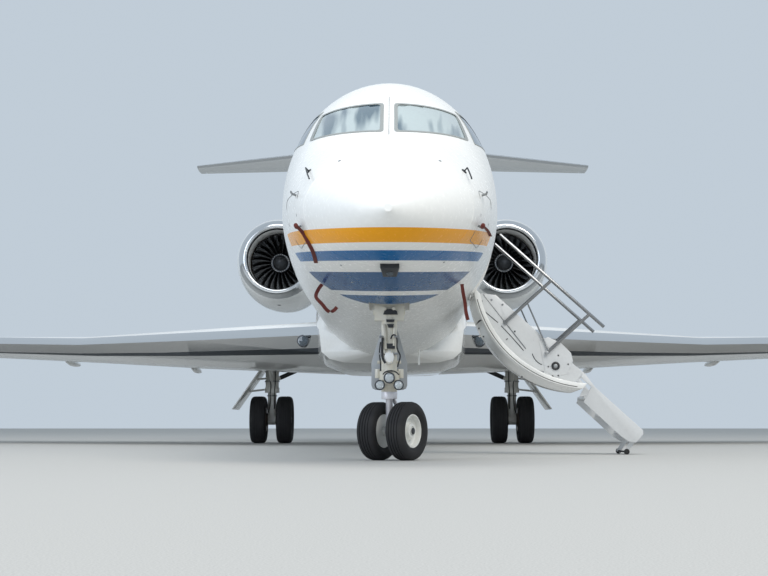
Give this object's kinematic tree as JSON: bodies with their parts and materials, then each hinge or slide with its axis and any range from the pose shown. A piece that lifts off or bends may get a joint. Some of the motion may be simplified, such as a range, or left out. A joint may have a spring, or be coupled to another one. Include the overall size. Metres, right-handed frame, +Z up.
{
  "type": "business jet",
  "caption": "Twin-engine business jet with swept wings, winglets and a T-tail, parked on its gear with its airstair let down.",
  "frame": {"origin": "on the ground, under the middle of the box around the aircraft", "axes": "+Z up, nose towards -Y, the aircraft's left side towards +X"},
  "size_m": [28.4988, 29.4, 7.87],
  "materials": {
    "white_metal": "gloss",
    "white_composite": "gloss",
    "cream_metal": "satin",
    "grey_metal": "satin",
    "polished_metal": "polished",
    "steel": "satin",
    "dark_steel": "satin",
    "fan_metal": "satin",
    "window_glass": "gloss",
    "tyre_rubber": "matte",
    "roller_rubber": "matte",
    "cabin_trim": "satin",
    "panel_plastic": "matte"
  },
  "bodies": {
    "airframe": {"fuselage_nose": "white_metal", "fuselage_cabin": "white_metal", "fuselage_rear": "white_metal", "tail_cone": "white_metal", "wing_left": "white_metal", "wing_right": "white_metal", "pylon_left": "white_metal", "pylon_right": "white_metal", "radome": "white_composite", "belly_fairing": "white_composite", "fin": "white_composite", "stabiliser": "white_composite", "flap_left": "white_composite", "flap_right": "white_composite", "cowl_left": "white_composite", "cowl_right": "white_composite", "main_gear_door_left": "white_composite", "main_gear_door_right": "white_composite", "windscreen_left": "window_glass", "windscreen_right": "window_glass", "side_window_left": "window_glass", "side_window_right": "window_glass", "cabin_windows_left": "window_glass", "cabin_windows_right": "window_glass", "cabin_floor": "cabin_trim", "instrument_panel": "panel_plastic", "inlet_lip_left": "polished_metal", "inlet_lip_right": "polished_metal", "engine_core_left": "dark_steel", "engine_core_right": "dark_steel", "nose_leg": "cream_metal", "nose_gear_door": "grey_metal", "main_leg_left": "steel", "main_leg_right": "steel"},
    "nose_steering": {"nose_steering_column": "steel"},
    "nose_wheels": {"nose_hub": "white_metal", "nose_tyre_outer": "tyre_rubber", "nose_tyre_inner": "tyre_rubber"},
    "main_wheels_left": {"main_left_hub": "white_metal", "main_left_tyre_outer": "tyre_rubber", "main_left_tyre_inner": "tyre_rubber"},
    "main_wheels_right": {"main_right_hub": "white_metal", "main_right_tyre_outer": "tyre_rubber", "main_right_tyre_inner": "tyre_rubber"},
    "fan_rotor_left": {"fan_left": "fan_metal"},
    "fan_rotor_right": {"fan_right": "fan_metal"},
    "airstair": {"airstair_door": "white_metal", "airstair_steps": "grey_metal"},
    "extension": {"airstair_extension": "grey_metal"},
    "handrails": {"airstair_handrails": "polished_metal"},
    "rollers": {"airstair_rollers": "roller_rubber"},
    "rudder": {"rudder": "white_composite"},
    "elevator_left": {"elevator_left": "white_composite"},
    "elevator_right": {"elevator_right": "white_composite"},
    "aileron_left": {"aileron_left": "white_composite"},
    "aileron_right": {"aileron_right": "white_composite"}
  },
  "joints": [
    {"name": "nose_steering", "type": "hinge", "parent": "airframe", "child": "nose_steering", "pos_m": [0, -12.2, 0.256], "axis": [0, 0, 1], "range_deg": [-50, 110]},
    {"name": "nose_wheel_spin", "type": "hinge", "parent": "nose_steering", "child": "nose_wheels", "pos_m": [0.0275, -12.15237, 0.256], "axis": [0.866, -0.5, 0], "continuous": true},
    {"name": "main_wheel_spin_left", "type": "hinge", "parent": "airframe", "child": "main_wheels_left", "pos_m": [2.185, 1.52, 0.425], "axis": [1, 0, 0], "continuous": true},
    {"name": "main_wheel_spin_right", "type": "hinge", "parent": "airframe", "child": "main_wheels_right", "pos_m": [-2.185, 1.52, 0.425], "axis": [1, 0, 0], "continuous": true},
    {"name": "fan_spin_left", "type": "hinge", "parent": "airframe", "child": "fan_rotor_left", "pos_m": [2.31, 4.89, 3.67], "axis": [0, 1, 0], "continuous": true},
    {"name": "fan_spin_right", "type": "hinge", "parent": "airframe", "child": "fan_rotor_right", "pos_m": [-2.31, 4.89, 3.67], "axis": [0, 1, 0], "continuous": true},
    {"name": "airstair_hinge", "type": "hinge", "parent": "airframe", "child": "airstair", "pos_m": [0.88, -9.2, 1.716], "axis": [0, -1, 0], "range_deg": [0, 132]},
    {"name": "extension_fold", "type": "hinge", "parent": "airstair", "child": "extension", "pos_m": [1.98732, -9.2, 0.85353], "axis": [0, -1, 0], "range_deg": [0, 180]},
    {"name": "handrail_fold", "type": "hinge", "parent": "airstair", "child": "handrails", "pos_m": [1.22631, -9.2, 1.40419], "axis": [0, 1, 0], "range_deg": [0, 20]},
    {"name": "roller_spin", "type": "hinge", "parent": "extension", "child": "rollers", "pos_m": [2.5116, -9.2, 0.03025], "axis": [0, 1, 0], "continuous": true},
    {"name": "rudder_hinge", "type": "hinge", "parent": "airframe", "child": "rudder", "pos_m": [0, 10.5704, 4.15], "axis": [0, 0.5168, 0.8561], "range_deg": [-22, 22]},
    {"name": "elevator_hinge_left", "type": "hinge", "parent": "airframe", "child": "elevator_left", "pos_m": [0.32, 12.7894, 7.23425], "axis": [0.9497, 0.3129, 0.012], "range_deg": [-22, 22]},
    {"name": "elevator_hinge_right", "type": "hinge", "parent": "airframe", "child": "elevator_right", "pos_m": [-0.32, 12.7894, 7.23425], "axis": [0.9497, -0.3129, -0.012], "range_deg": [-22, 22]},
    {"name": "aileron_hinge_left", "type": "hinge", "parent": "airframe", "child": "aileron_left", "pos_m": [9.9, 4.3253, 1.8568], "axis": [0.9443, 0.3268, 0.0394], "range_deg": [-20, 20]},
    {"name": "aileron_hinge_right", "type": "hinge", "parent": "airframe", "child": "aileron_right", "pos_m": [-9.9, 4.3253, 1.8568], "axis": [0.9443, -0.3268, -0.0394], "range_deg": [-20, 20]}
  ],
  "couplings": [
    {"joint": "extension_fold", "follows": "airstair_hinge", "ratio": 1.3636},
    {"joint": "handrail_fold", "follows": "airstair_hinge", "ratio": 0.1515},
    {"joint": "elevator_hinge_right", "follows": "elevator_hinge_left", "ratio": 1},
    {"joint": "aileron_hinge_right", "follows": "aileron_hinge_left", "ratio": -1}
  ]
}
